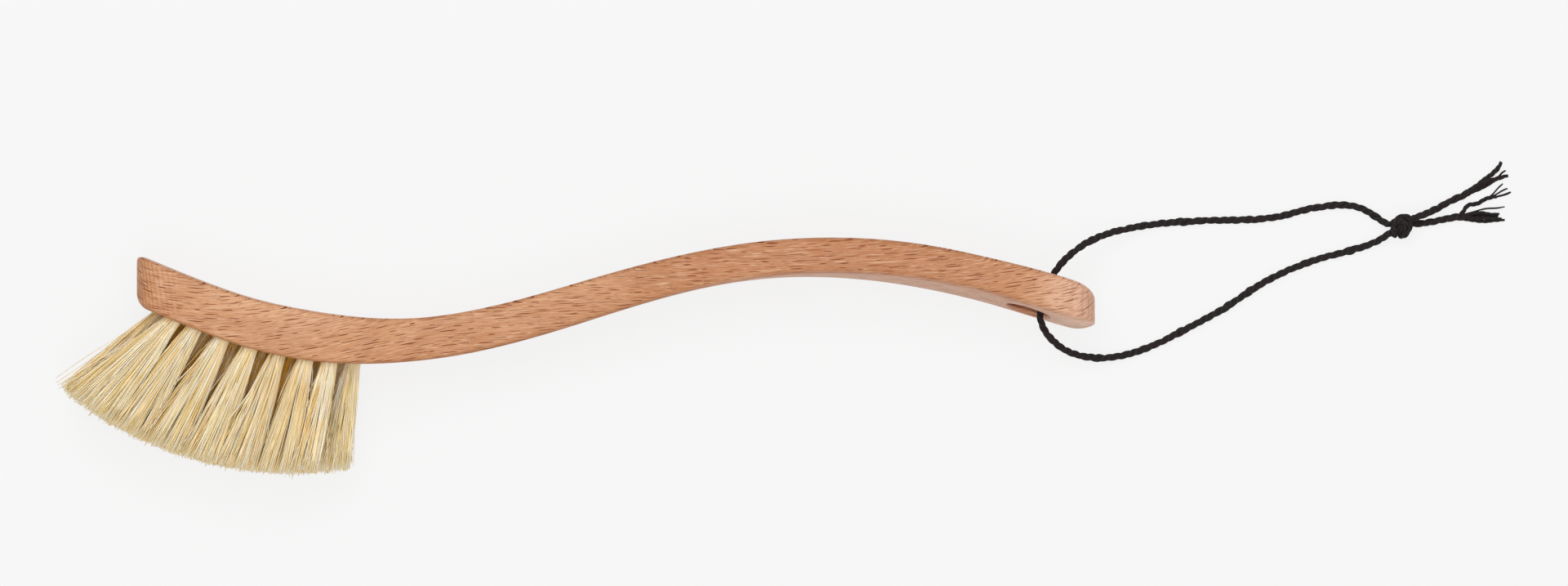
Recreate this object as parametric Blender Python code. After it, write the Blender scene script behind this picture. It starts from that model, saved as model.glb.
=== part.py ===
"""Dish brush with a curved one-piece beech handle, tufts of plant fibre and a knotted hanging cord.

The brush lies on its side on a table. X runs along the brush from the toe of the head to the tip of
the grip, Y points from the bristles to the back of the head, and Z is up, across the brush. The
origin is the middle of the head's lower side, on the table. Everything is in metres.
"""

import math
import random

import bmesh
import bpy
import numpy as np
from mathutils import Matrix, Vector

# Handle. Places are distances from the toe, thicknesses are measured square to X.
HANDLE_LENGTH = 0.2612
BOW_HEIGHT = 0.02285
HEAD_WIDTH = 0.025
NECK_WIDTH = 0.017
GRIP_WIDTH = 0.0235
HEAD_THICKNESS = 0.0137
HEAD_STRAIGHT = 0.042
NECK_PLACE = 0.094
GRIP_START = 0.165
GRIP_FULL = 0.215
REST_PLACE = 0.0273

# The grip turns a little about its length, so that its underside faces one side.
TWIST_START = 0.150
TWIST_END = 0.240
GRIP_TWIST = math.radians(8)

# Rounding of the handle: plan corners, ends seen from the side, and the long edges.
TOE_CORNER = 0.0065
TIP_CORNER = 0.0095
TOE_BACK_EDGE = 0.0018
TOE_LOWER_EDGE = 0.0030
TIP_BACK_RUN = 0.0050
TIP_BACK_DEPTH = 0.0023
TIP_LOWER_RUN = 0.0070
TIP_LOWER_DEPTH = 0.0019
HEAD_EDGE_RADIUS = 0.0013
GRIP_EDGE_RADIUS = 0.0019
LARGEST_EDGE_share = 0.4

# Centreline of the handle: shares of its length, and of the bow from the dip to the crest.
BOW_shares = (
    (0.00, 0.728), (0.06, 0.447), (0.12, 0.210), (0.18, 0.065), (0.25, 0.001), (0.32, 0.055),
    (0.41, 0.279), (0.49, 0.552), (0.58, 0.828), (0.645, 0.955), (0.71, 0.998), (0.78, 0.956),
    (0.85, 0.827), (0.92, 0.627), (1.00, 0.360),
)
# Thickness along the handle: shares of its length, and of the head's thickness.
THICKNESS_shares = (
    (0.000, 1.000), (0.155, 1.000), (0.310, 0.847), (0.430, 0.836), (0.610, 0.742), (0.720, 0.715),
    (0.870, 0.715), (0.960, 0.780), (1.000, 0.780),
)
STATION_STEP = 0.0056
CORNER_STEPS = 3
END_STEPS = 6

# Hanging hole through the grip, square to the handle there, with softened mouths.
HANG_HOLE_FROM_TIP = 0.0169
HANG_HOLE_DIAMETER = 0.0104
HANG_HOLE_FLARE = 0.0010
HANG_HOLE_SIDES = 20

# Tufts: blind holes in the underside of the head, in three rows.
HOLE_DIAMETER = 0.0046
HOLE_DEPTH = 0.0066
HOLE_SIDES = 12
OUTER_ROW_share = 0.584
TUFTED_LENGTH = 0.0511
FIRST_TUFT = 0.0064
MIDDLE_ROW_shares = (0.0, 0.125, 0.257, 0.402, 0.552, 0.701, 0.847, 1.02)
LEFT_ROW_shares = (0.067, 0.182, 0.328, 0.478, 0.626, 0.775, 0.902)
RIGHT_ROW_shares = (0.067, 0.182, 0.328, 0.478, 0.626, 0.785, 0.945)

# All tufts point away from one point above the head, and are trimmed to one arc.
FAN_CENTRE = (0.0697, 0.0778)
TRIM_CENTRE = (0.0427, 0.0567)
TRIM_RADIUS = 0.0978
TRIM_SPREAD = 0.0007

# Strands of one tuft: a middle one and two rings.
STRAND_RADIUS = 0.00029
STRAND_TIP_RADIUS = 0.00017
STRAND_SIDES = 3
RING_COUNTS = (1, 6, 11)
RING_shares = (0.0, 0.5, 1.0)
ROOT_RING_RADIUS = 0.00158
FAN_ACROSS = 0.0030
FAN_share = 0.84
FIRST_FAN_share = 1.55
LAST_FAN_share = 0.40
ROW_SPLAY = 0.0007
TUFT_CLEARANCE = 0.0003

# Anchor: the flat wire that a tuft is folded over and driven in with.
ANCHOR_HEIGHT = 0.0017
ANCHOR_THICKNESS = 0.0004
ANCHOR_CLEARANCE = 0.0002
FOLD_THICKNESS = 0.0008

# Hanging cord.
CORD_DIAMETER = 0.0019
KNOT_WIDTH = 0.0066
KNOT_HEIGHT = 0.0056
KNOT_SEGMENTS = 12
KNOT_RINGS = 8
CORD_ARC_STEPS = 2
CORD_GAP = 0.0003
CORD_DROP = 0.0006
CORD_STEP = 0.0045
FLOOR_CLEARANCE = 0.00005

# Routes, chosen by hand: X and Y from the middle of the hanging hole in metres, and the height of
# the cord above where it lies on the table, as a share of its height in the hole.
UPPER_ROUTE = (
    (0.0039, 0.0003, 1.0), (0.0057, 0.0051, 1.0), (0.0079, 0.0080, 0.983), (0.0115, 0.0114, 0.861),
    (0.0169, 0.0147, 0.60), (0.0219, 0.0165, 0.348), (0.0271, 0.0177, 0.139), (0.0327, 0.0186, 0.017),
    (0.0394, 0.0192, 0.0), (0.0483, 0.0197, 0.0), (0.0550, 0.0198, 0.0), (0.0618, 0.0201, 0.0),
    (0.0685, 0.0210, 0.0), (0.0752, 0.0228, 0.0), (0.0808, 0.0237, 0.0), (0.0863, 0.0239, 0.0),
    (0.0897, 0.0232, 0.0), (0.0930, 0.0217, 0.02), (0.0957, 0.0202, 0.08), (0.0979, 0.0192, 0.14),
)
LOWER_ROUTE = (
    (0.0039, -0.0003, 1.0), (0.0020, -0.0054, 1.0), (0.0023, -0.0083, 0.974), (0.0039, -0.0112, 0.887),
    (0.0069, -0.0143, 0.696), (0.0102, -0.0163, 0.504), (0.0159, -0.0177, 0.252), (0.0215, -0.0177, 0.078),
    (0.0282, -0.0163, 0.004), (0.0372, -0.0125, 0.0), (0.0483, -0.0067, 0.0), (0.0528, -0.0042, 0.0),
    (0.0618, 0.0018, 0.0), (0.0707, 0.0063, 0.0), (0.0774, 0.0089, 0.0), (0.0841, 0.0107, 0.0),
    (0.0897, 0.0123, 0.0), (0.0946, 0.0142, 0.045), (0.0980, 0.0163, 0.12),
)
UPPER_TAIL_ROUTE = (
    (0.1040, 0.0202, 0.29), (0.1065, 0.0211, 0.24), (0.1095, 0.0224, 0.10), (0.1123, 0.0238, 0.01),
    (0.1154, 0.0254, 0.0), (0.1185, 0.0269, 0.0), (0.1217, 0.0291, 0.0), (0.1248, 0.0313, 0.0),
    (0.1284, 0.0338, 0.0),
)
LOWER_TAIL_ROUTE = (
    (0.1044, 0.0189, 0.06), (0.1066, 0.0190, 0.01), (0.1095, 0.0194, 0.0), (0.1132, 0.0201, 0.0),
    (0.1161, 0.0207, 0.0), (0.1192, 0.0215, 0.0), (0.1226, 0.0224, 0.0), (0.1261, 0.0230, 0.0),
    (0.1290, 0.0235, 0.0),
)
KNOT_PLACE = (0.1010, 0.0183)

# How far every cutter runs past what it cuts.
OVERRUN = 0.002
SHARP_ANGLE = math.radians(32)
SEED = 7

WOOD = ("beech", (0.66, 0.36, 0.20), 0.45, 0.0)
FIBRE = ("plant_fibre", (0.78, 0.68, 0.42), 0.6, 0.0)
WIRE = ("anchor_wire", (0.62, 0.61, 0.58), 0.35, 1.0)
COTTON = ("black_cotton", (0.025, 0.02, 0.022), 0.85, 0.0)

CROSS_SECTION_AXIS = Vector((0, 0, 1))


def clear_scene():
    for thing in list(bpy.data.objects):
        bpy.data.objects.remove(thing)


def new_collection(name):
    collection = bpy.data.collections.new(name)
    bpy.context.scene.collection.children.link(collection)
    return collection


def material(name, colour, roughness, metallic):
    finish = bpy.data.materials.new(name)
    finish.use_nodes = True
    shader = finish.node_tree.nodes["Principled BSDF"]
    shader.inputs["Base Color"].default_value = (*colour, 1.0)
    shader.inputs["Roughness"].default_value = roughness
    shader.inputs["Metallic"].default_value = metallic
    return finish


def add_object(name, bm, collection, finish=None, matrix=None):
    """Turns a bmesh into a named object, with its faces pointing out."""
    bmesh.ops.recalc_face_normals(bm, faces=bm.faces)
    mesh = bpy.data.meshes.new(name)
    bm.to_mesh(mesh)
    bm.free()
    thing = bpy.data.objects.new(name, mesh)
    if matrix is not None:
        thing.matrix_world = matrix
    if finish is not None:
        mesh.materials.append(finish)
    collection.objects.link(thing)
    return thing


def add_cutter(name, bm, collection, matrix=None):
    cutter = add_object(name, bm, collection, matrix=matrix)
    cutter.hide_render = True
    cutter.display_type = "WIRE"
    return cutter


def shade_round(mesh):
    mesh.shade_smooth()
    mesh.set_sharp_from_angle(angle=SHARP_ANGLE)


def boolean(thing, operation, operand):
    step = thing.modifiers.new(operation.lower(), "BOOLEAN")
    step.operation = operation
    step.solver = "EXACT"
    if isinstance(operand, bpy.types.Collection):
        step.operand_type = "COLLECTION"
        step.collection = operand
    else:
        step.object = operand


def natural_curve(points):
    """A natural cubic through (place, height) points, as a function of the place."""
    x, y = (np.array(column, dtype=float) for column in zip(*points))
    gap = np.diff(x)
    slope = np.diff(y) / gap
    count = len(x)
    rows = np.eye(count)
    bends = np.zeros(count)
    for i in range(1, count - 1):
        rows[i, i - 1 : i + 2] = gap[i - 1], 2 * (gap[i - 1] + gap[i]), gap[i]
        bends[i] = 6 * (slope[i] - slope[i - 1])
    bends = np.linalg.solve(rows, bends)

    def height(place):
        i = int(np.clip(np.searchsorted(x, place) - 1, 0, count - 2))
        before, after = (x[i + 1] - place) / gap[i], (place - x[i]) / gap[i]
        bend = (before**3 - before) * bends[i] + (after**3 - after) * bends[i + 1]
        return float(before * y[i] + after * y[i + 1] + bend * gap[i] ** 2 / 6)

    return height


def eased_curve(points):
    """Runs through (place, size) points without overshoot, level wherever two sizes are equal."""
    x, y = (np.array(column, dtype=float) for column in zip(*points))
    slope = np.diff(y) / np.diff(x)
    tangent = [0.0]
    for a, b in zip(slope[:-1], slope[1:]):
        tangent.append(2 * a * b / (a + b) if a * b > 0 else 0.0)
    tangent.append(0.0)

    def size(place):
        i = int(np.clip(np.searchsorted(x, place) - 1, 0, len(x) - 2))
        gap = x[i + 1] - x[i]
        t = (place - x[i]) / gap
        ends = (1 + 2 * t) * (1 - t) ** 2 * y[i] + t**2 * (3 - 2 * t) * y[i + 1]
        pulls = t * (1 - t) ** 2 * tangent[i] - t**2 * (1 - t) * tangent[i + 1]
        return float(ends + gap * pulls)

    return size


def smooth_step(place, start, end):
    t = min(max((place - start) / (end - start), 0.0), 1.0)
    return t * t * (3 - 2 * t)


def round_inset(run, distance, depth=None):
    """How far a corner draws an outline in, at a distance from its end: round unless it has a depth."""
    if distance >= run:
        return 0.0
    depth = run if depth is None else depth
    return depth * (1 - math.sqrt(1 - (1 - distance / run) ** 2))


def eased_inset(run, distance, depth):
    """How far a long shallow curve draws an outline in, ending in a sharp corner."""
    return depth * (1 - distance / run) ** 2 if distance < run else 0.0


bow = natural_curve([(s * HANDLE_LENGTH, h * BOW_HEIGHT) for s, h in BOW_shares])
plan_width = eased_curve([
    (0, HEAD_WIDTH), (HEAD_STRAIGHT, HEAD_WIDTH), (NECK_PLACE, NECK_WIDTH),
    (GRIP_FULL, GRIP_WIDTH), (HANDLE_LENGTH, GRIP_WIDTH),
])
side_thickness = eased_curve([(s * HANDLE_LENGTH, t * HEAD_THICKNESS) for s, t in THICKNESS_shares])


def centre_height(place):
    """Height of the centreline above the origin, which is level with it at REST_PLACE."""
    return bow(place) - bow(REST_PLACE)


def centre_slope(place):
    return math.atan2(bow(place + STATION_STEP) - bow(place - STATION_STEP), 2 * STATION_STEP)


def edge_radius(place):
    ease = smooth_step(place, HEAD_STRAIGHT, GRIP_START)
    return HEAD_EDGE_RADIUS + (GRIP_EDGE_RADIUS - HEAD_EDGE_RADIUS) * ease


def section(place):
    """Outline of the handle square to X: a rounded rectangle, turned by the grip's twist."""
    to_tip = HANDLE_LENGTH - place
    half_width = plan_width(place) / 2
    half_width -= round_inset(TOE_CORNER, place) + round_inset(TIP_CORNER, to_tip)
    half = side_thickness(place) / 2
    top = half - round_inset(TOE_BACK_EDGE, place) - round_inset(TIP_BACK_RUN, to_tip, TIP_BACK_DEPTH)
    bottom = half - round_inset(TOE_LOWER_EDGE, place) - eased_inset(TIP_LOWER_RUN, to_tip, TIP_LOWER_DEPTH)
    largest = LARGEST_EDGE_share * min(2 * half_width, top + bottom)
    radius = min(edge_radius(place), largest)
    twist = GRIP_TWIST * smooth_step(place, TWIST_START, TWIST_END)
    x, height = place - REST_PLACE, centre_height(place)
    points = []
    for quarter, (across, up) in enumerate(((1, top), (-1, top), (-1, -bottom), (1, -bottom))):
        centre_across = across * (half_width - radius)
        centre_up = up - math.copysign(radius, up)
        for step in range(CORNER_STEPS + 1):
            angle = (quarter + step / CORNER_STEPS) * math.pi / 2
            a = centre_across + radius * math.cos(angle)
            u = centre_up + radius * math.sin(angle)
            turned_up = u * math.cos(twist) + a * math.sin(twist)
            turned_across = a * math.cos(twist) - u * math.sin(twist)
            points.append(Vector((x, height + turned_up, HEAD_WIDTH / 2 + turned_across)))
    return points


def stations():
    """Places of the sections: close together round the two ends, evenly spaced between."""
    turns = [1 - math.cos(step / END_STEPS * math.pi / 2) for step in range(END_STEPS)]
    toe = [TOE_CORNER * turn for turn in turns]
    tip = [HANDLE_LENGTH - TIP_CORNER * turn for turn in reversed(turns)]
    run = HANDLE_LENGTH - TOE_CORNER - TIP_CORNER
    count = max(2, round(run / STATION_STEP))
    middle = [TOE_CORNER + run * i / count for i in range(count + 1)]
    return toe + middle + tip


def underside(place):
    """Point on the underside of the handle at a place, on its centre plane."""
    return Vector((place - REST_PLACE, centre_height(place) - side_thickness(place) / 2, HEAD_WIDTH / 2))


def make_handle(collection, cutters, finish):
    bm = bmesh.new()
    rings = [[bm.verts.new(point) for point in section(place)] for place in stations()]
    for ring, following in zip(rings[:-1], rings[1:]):
        for i in range(len(ring)):
            j = (i + 1) % len(ring)
            bm.faces.new((ring[i], ring[j], following[j], following[i]))
    bm.faces.new(rings[0])
    bm.faces.new(rings[-1])
    handle = add_object("handle", bm, collection, finish)
    shade_round(handle.data)
    boolean(handle, "DIFFERENCE", cutters)


def hang_hole_matrix():
    """Frame of the hanging hole: local Z square to the handle, local X along it."""
    place = HANDLE_LENGTH - HANG_HOLE_FROM_TIP
    centre = Vector((place - REST_PLACE, centre_height(place), HEAD_WIDTH / 2))
    slope = Matrix.Rotation(centre_slope(place), 4, "Z")
    return Matrix.Translation(centre) @ slope @ Matrix.Rotation(-math.pi / 2, 4, "X")


def make_hang_hole_cutter(collection):
    """The hanging hole with its two mouths flared, as a softened edge."""
    half = side_thickness(HANDLE_LENGTH - HANG_HOLE_FROM_TIP) / 2
    radius = HANG_HOLE_DIAMETER / 2
    past = radius + OVERRUN + HANG_HOLE_FLARE
    levels = ((-half - OVERRUN, past), (HANG_HOLE_FLARE - half, radius),
              (half - HANG_HOLE_FLARE, radius), (half + OVERRUN, past))
    bm = bmesh.new()
    rings = []
    for height, size in levels:
        made = bmesh.ops.create_circle(bm, segments=HANG_HOLE_SIDES, radius=size,
                                       matrix=Matrix.Translation((0, 0, height)))
        rings.append(made["verts"])
    for ring, following in zip(rings[:-1], rings[1:]):
        for i in range(len(ring)):
            j = (i + 1) % len(ring)
            bm.faces.new((ring[i], ring[j], following[j], following[i]))
    bm.faces.new(rings[0])
    bm.faces.new(rings[-1])
    add_cutter("hang_hole_cutter", bm, collection, hang_hole_matrix())


def row_roots(shares, side):
    """Root points of one row of tufts: side is 0 for the middle row, 1 and -1 for the outer ones."""
    roots = []
    for share in shares:
        root = underside(FIRST_TUFT + share * TUFTED_LENGTH)
        root.z += side * OUTER_ROW_share * plan_width(root.x + REST_PLACE) / 2
        roots.append(root)
    return roots


def in_plan(point):
    """A point given in the plane of the handle's outline, measured from the toe and the origin."""
    return Vector((point[0] - REST_PLACE, point[1], 0))


def trimmed(root, aim, radius):
    """Where the line from root through aim leaves the round trim surface."""
    centre = in_plan(TRIM_CENTRE)
    way = aim - root
    out = root - centre
    a = way.x**2 + way.y**2
    b = out.x * way.x + out.y * way.y
    c = out.x**2 + out.y**2 - radius**2
    return root + way * ((math.sqrt(b * b - a * c) - b) / a)


def tuft_tip(root, side):
    """Middle of the tuft's trimmed end, on the line from the fan's centre through the root."""
    centre = in_plan(FAN_CENTRE)
    away = Vector((root.x - centre.x, root.y - centre.y, 0))
    tip = trimmed(root, root + away, TRIM_RADIUS)
    tip.z = root.z + side * ROW_SPLAY
    return tip


def tuft_matrix(root, tip):
    """Frame of a tuft: origin at its root, local Z towards its tip, local Y across the brush."""
    z = (tip - root).normalized()
    x = CROSS_SECTION_AXIS.cross(z).normalized()
    y = z.cross(x)
    turned = Matrix((x, y, z)).transposed().to_4x4()
    return Matrix.Translation(root) @ turned


def cylinder(radius, low, high, sides):
    bm = bmesh.new()
    place = Matrix.Translation((0, 0, (low + high) / 2))
    bmesh.ops.create_cone(bm, cap_ends=True, segments=sides, radius1=radius, radius2=radius,
                          depth=high - low, matrix=place)
    return bm


def box(size, middle):
    bm = bmesh.new()
    bmesh.ops.create_cube(bm, size=1, matrix=Matrix.Translation(middle) @ Matrix.Diagonal((*size, 1)))
    return bm


def add_strand(bm, root, tip):
    """A tapered strand of a few flat sides from root to tip."""
    way = tip - root
    turn = way.to_track_quat("Z", "Y").to_matrix().to_4x4()
    place = Matrix.Translation((root + tip) / 2) @ turn
    bmesh.ops.create_cone(bm, cap_ends=True, segments=STRAND_SIDES, radius1=STRAND_RADIUS,
                          radius2=STRAND_TIP_RADIUS, depth=way.length, matrix=place)


def make_strands(name, collection, matrix, fans, draw):
    """The strands of one tuft in its own frame, fanned out to both sides and trimmed to the arc."""
    inverse = matrix.inverted()
    bm = bmesh.new()
    length = (trimmed(matrix.translation, matrix @ Vector((0, 0, TRIM_RADIUS)), TRIM_RADIUS)
              - matrix.translation).length
    for count, share in zip(RING_COUNTS, RING_shares):
        for i in range(count):
            angle = (i + share / 2) / count * 2 * math.pi
            round_x, round_y = share * math.cos(angle), share * math.sin(angle)
            start = Vector((ROOT_RING_RADIUS * round_x, ROOT_RING_RADIUS * round_y, -FOLD_THICKNESS))
            fan_along = fans[0] if round_x < 0 else fans[1]
            aim = Vector((fan_along * round_x, FAN_ACROSS * round_y, length))
            cut = TRIM_RADIUS + draw.uniform(-TRIM_SPREAD, TRIM_SPREAD)
            end = trimmed(matrix @ start, matrix @ aim, cut)
            add_strand(bm, start, inverse @ end)
    return add_cutter(name, bm, collection, matrix)


def make_tuft(name, parts, shapes, holes, finishes, root, tip, fans, draw):
    """A tuft folded over its anchor, the anchor itself, and the cutter of their hole."""
    matrix = tuft_matrix(root, tip)
    hole = cylinder(HOLE_DIAMETER / 2, -HOLE_DEPTH, OVERRUN, HOLE_SIDES)
    add_cutter("hole_" + name, hole, holes, matrix)

    plug_radius = HOLE_DIAMETER / 2 - TUFT_CLEARANCE
    floor = TUFT_CLEARANCE - HOLE_DEPTH
    plug = cylinder(plug_radius, floor, 0, HOLE_SIDES)
    tuft = add_object("tuft_" + name, plug, parts, finishes["fibre"], matrix)
    boolean(tuft, "UNION", make_strands("strands_" + name, shapes, matrix, fans, draw))

    seat_height = ANCHOR_HEIGHT + 2 * ANCHOR_CLEARANCE
    seat_width = ANCHOR_THICKNESS + 2 * ANCHOR_CLEARANCE
    middle = (0, 0, floor + FOLD_THICKNESS + seat_height / 2)
    seat_size = (2 * plug_radius + OVERRUN, seat_width, seat_height)
    seat = add_cutter("seat_" + name, box(seat_size, middle), shapes, matrix)
    boolean(tuft, "DIFFERENCE", seat)

    anchor = box((2 * plug_radius, ANCHOR_THICKNESS, ANCHOR_HEIGHT), middle)
    add_object("anchor_" + name, anchor, parts, finishes["wire"], matrix)


def make_tufts(parts, shapes, holes, finishes):
    draw = random.Random(SEED)
    rows = (("left", LEFT_ROW_shares, 1), ("middle", MIDDLE_ROW_shares, 0),
            ("right", RIGHT_ROW_shares, -1))
    for row, shares, side in rows:
        roots = row_roots(shares, side)
        tips = [tuft_tip(root, side) for root in roots]
        gaps = [(b - a).length for a, b in zip(tips[:-1], tips[1:])]
        fans = [FIRST_FAN_share * gaps[0] / 2, *(FAN_share * gap / 2 for gap in gaps),
                LAST_FAN_share * gaps[-1] / 2]
        for i, (root, tip) in enumerate(zip(roots, tips)):
            name = row + "_" + str(i + 1)
            make_tuft(name, parts, shapes, holes, finishes, root, tip, fans[i:i + 2], draw)


def hang_hole_centre():
    return hang_hole_matrix().translation


def route_points(route):
    """Route points in the brush's frame, from the hanging hole down to the table."""
    centre = hang_hole_centre()
    rest = CORD_DIAMETER / 2 + FLOOR_CLEARANCE
    in_hole = centre.z - CORD_DROP
    return [Vector((centre.x + x, centre.y + y, rest + (in_hole - rest) * share))
            for x, y, share in route]


def curve_through(points, step):
    """Points at even steps along a smooth curve through hand-chosen points."""
    lengths = [0.0]
    for a, b in zip(points[:-1], points[1:]):
        lengths.append(lengths[-1] + (b - a).length)
    axes = [natural_curve(list(zip(lengths, column))) for column in zip(*points)]
    count = max(2, round(lengths[-1] / step))
    return [Vector(axis(lengths[-1] * i / count) for axis in axes) for i in range(count + 1)]


def meet_knot(points, end):
    """Moves the end of a cord that meets the knot to just outside the knot."""
    centre = knot_centre()
    reach = KNOT_WIDTH / 2 + CORD_GAP
    points[end] = centre + (points[end] - centre).normalized() * reach
    return points


def make_tube(name, points, collection, finish):
    """A cord's tube: a curve object of straight pieces, with filled caps."""
    curve = bpy.data.curves.new(name, "CURVE")
    curve.dimensions = "3D"
    curve.bevel_depth = CORD_DIAMETER / 2
    curve.bevel_resolution = CORD_ARC_STEPS
    curve.use_fill_caps = True
    spline = curve.splines.new("POLY")
    spline.points.add(len(points) - 1)
    for target, point in zip(spline.points, points):
        target.co = (*point, 1)
    curve.materials.append(finish)
    collection.objects.link(bpy.data.objects.new(name, curve))


def knot_centre():
    centre = hang_hole_centre()
    return Vector((centre.x + KNOT_PLACE[0], centre.y + KNOT_PLACE[1], KNOT_HEIGHT / 2))


def make_knot(collection, finish):
    """The overhand knot that joins both ends of the cord, as a flattened ball."""
    bm = bmesh.new()
    size = Matrix.Diagonal((KNOT_WIDTH / 2, KNOT_WIDTH / 2, KNOT_HEIGHT / 2, 1))
    bmesh.ops.create_uvsphere(bm, u_segments=KNOT_SEGMENTS, v_segments=KNOT_RINGS, radius=1,
                              matrix=Matrix.Translation(knot_centre()) @ size)
    knot = add_object("cord_knot", bm, collection, finish)
    shade_round(knot.data)


def make_cord(collection, finish):
    """The cord's two legs, which meet inside the hanging hole, its knot and its two tails."""
    middle = hang_hole_centre().y
    for name, route, side in (("cord_upper", UPPER_ROUTE, 1), ("cord_lower", LOWER_ROUTE, -1)):
        points = meet_knot(curve_through(route_points(route), CORD_STEP), -1)
        points[0].y = middle + side * CORD_GAP / 2
        make_tube(name, points, collection, finish)
    for name, route in (("cord_tail_upper", UPPER_TAIL_ROUTE), ("cord_tail_lower", LOWER_TAIL_ROUTE)):
        points = meet_knot(curve_through(route_points(route), CORD_STEP), 0)
        make_tube(name, points, collection, finish)
    make_knot(collection, finish)


def main():
    clear_scene()
    parts = new_collection("dish_brush")
    shapes = new_collection("cutters")
    holes = new_collection("hole_cutters")
    finishes = {"wood": material(*WOOD), "fibre": material(*FIBRE), "wire": material(*WIRE),
                "cotton": material(*COTTON)}
    make_tufts(parts, shapes, holes, finishes)
    make_hang_hole_cutter(holes)
    make_handle(parts, holes, finishes["wood"])
    make_cord(parts, finishes["cotton"])


main()
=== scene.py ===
"""Dish brush on its side: a curved beech handle, tufts of plant fibre and a knotted cotton cord.

Everything is in metres, in the part's own frame: X runs from the toe of the head to the tip of the
grip, Y from the bristles to the back of the head, and Z is up from the table.
"""

import math

import bmesh
import bpy
import numpy as np
from mathutils import Matrix, Vector


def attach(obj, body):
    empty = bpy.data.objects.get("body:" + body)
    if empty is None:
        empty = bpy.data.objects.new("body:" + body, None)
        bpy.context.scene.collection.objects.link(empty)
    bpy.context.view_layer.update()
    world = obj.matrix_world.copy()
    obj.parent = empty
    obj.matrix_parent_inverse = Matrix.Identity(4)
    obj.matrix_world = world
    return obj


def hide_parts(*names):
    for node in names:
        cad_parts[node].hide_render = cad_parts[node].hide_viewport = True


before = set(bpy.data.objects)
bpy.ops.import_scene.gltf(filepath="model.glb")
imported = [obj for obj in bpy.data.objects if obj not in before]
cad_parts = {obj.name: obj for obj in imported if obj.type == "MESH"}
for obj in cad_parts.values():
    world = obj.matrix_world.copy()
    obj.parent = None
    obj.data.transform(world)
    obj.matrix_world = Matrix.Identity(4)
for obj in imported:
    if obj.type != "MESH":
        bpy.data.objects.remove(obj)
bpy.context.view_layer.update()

# Handle, as in the part's source but with finer steps.
HANDLE_LENGTH = 0.2612
BOW_HEIGHT = 0.02285
HEAD_WIDTH = 0.025
NECK_WIDTH = 0.017
GRIP_WIDTH = 0.0235
HEAD_THICKNESS = 0.0137
HEAD_STRAIGHT = 0.042
NECK_PLACE = 0.094
GRIP_START = 0.165
GRIP_FULL = 0.215
REST_PLACE = 0.0273
TWIST_START = 0.150
TWIST_END = 0.240
GRIP_TWIST = math.radians(8)
TOE_CORNER = 0.0065
TIP_CORNER = 0.0095
TOE_BACK_EDGE = 0.0018
TOE_LOWER_EDGE = 0.0030
TIP_BACK_RUN = 0.0050
TIP_BACK_DEPTH = 0.0023
TIP_LOWER_RUN = 0.0070
TIP_LOWER_DEPTH = 0.0019
HEAD_EDGE_RADIUS = 0.0013
GRIP_EDGE_RADIUS = 0.0019
LARGEST_EDGE_SHARE = 0.4
BOW_SHARES = (
    (0.00, 0.728), (0.06, 0.447), (0.12, 0.210), (0.18, 0.065), (0.25, 0.001), (0.32, 0.055),
    (0.41, 0.279), (0.49, 0.552), (0.58, 0.828), (0.645, 0.955), (0.71, 0.998), (0.78, 0.956),
    (0.85, 0.827), (0.92, 0.627), (1.00, 0.360),
)
THICKNESS_SHARES = (
    (0.000, 1.000), (0.155, 1.000), (0.310, 0.847), (0.430, 0.836), (0.610, 0.742), (0.720, 0.715),
    (0.870, 0.715), (0.960, 0.780), (1.000, 0.780),
)
STATION_STEP = 0.0018
SLOPE_STEP = 0.0056
CORNER_STEPS = 6
FLAT_STEPS = 4
END_STEPS = 12
SMOOTH_ANGLE = math.radians(40)
MERGE_DISTANCE = 1e-8

# Hanging hole with rounded mouths, a little wider than in the part's source.
HANG_HOLE_FROM_TIP = 0.0169
HANG_HOLE_DIAMETER = 0.0122
HANG_HOLE_FLARE = 0.0006
HANG_HOLE_SIDES = 48
FLARE_STEPS = 6
RIM_SHARE = 0.35
OVERRUN = 0.002

# Tufts and their holes.
HOLE_DIAMETER = 0.0046
HOLE_DEPTH = 0.0066
HOLE_SIDES = 20
OUTER_ROW_SHARE = 0.584
TUFTED_LENGTH = 0.0511
FIRST_TUFT = 0.0064
MIDDLE_ROW_SHARES = (0.0, 0.125, 0.257, 0.402, 0.552, 0.701, 0.847, 1.02)
LEFT_ROW_SHARES = (0.067, 0.182, 0.328, 0.478, 0.626, 0.775, 0.902)
RIGHT_ROW_SHARES = (0.067, 0.182, 0.328, 0.478, 0.626, 0.785, 0.945)
FAN_CENTRE = (0.0697, 0.0778)
TRIM_CENTRE = (0.0427, 0.0567)
TRIM_RADIUS = 0.0978
TRIM_SPREAD = 0.0006
ROW_SPLAY = 0.0007

# Fibres of a tuft. The first tufts, at the toe, have more of them and fan out furthest.
FIBRE_COUNT = 460
TOE_FIBRE_COUNT = 600
LOOSE_COUNT = 5
FIBRE_RADIUS = 0.00013
FIBRE_GIRTHS = (0.65, 1.15)
FIBRE_TIP_SHARE = 0.75
FIBRE_POINTS = 7
FIBRE_START = -0.0035
TUFT_RADIUS = 0.0022
ROW_REACH = 0.0094
FAN_ACROSS = 0.0039
FAN_SHARE = 1.08
FIRST_FAN_SHARE = 2.05
OUTER_FIRST_FAN_SHARE = 2.85
LAST_FAN_SHARE = 0.50
SKIN_POWER = 0.34
CLUMPS = 14
CLUMP_PULL = 0.30
TIP_SCATTER = 0.0004
SCATTER_ACROSS_SHARE = 0.6
BOW_OF_FIBRE = 0.0003
SWAY_SHARE = 0.45
STRAY_SHARE = 0.045
TOE_STRAY_SHARE = 0.085
STRAY_SCATTER = 0.0030
STRAY_REACH = 0.0008
LOOSE_REACH = (0.12, 0.8)
LOOSE_SWING = 0.12
LOOSE_BOW = 0.04

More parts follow.
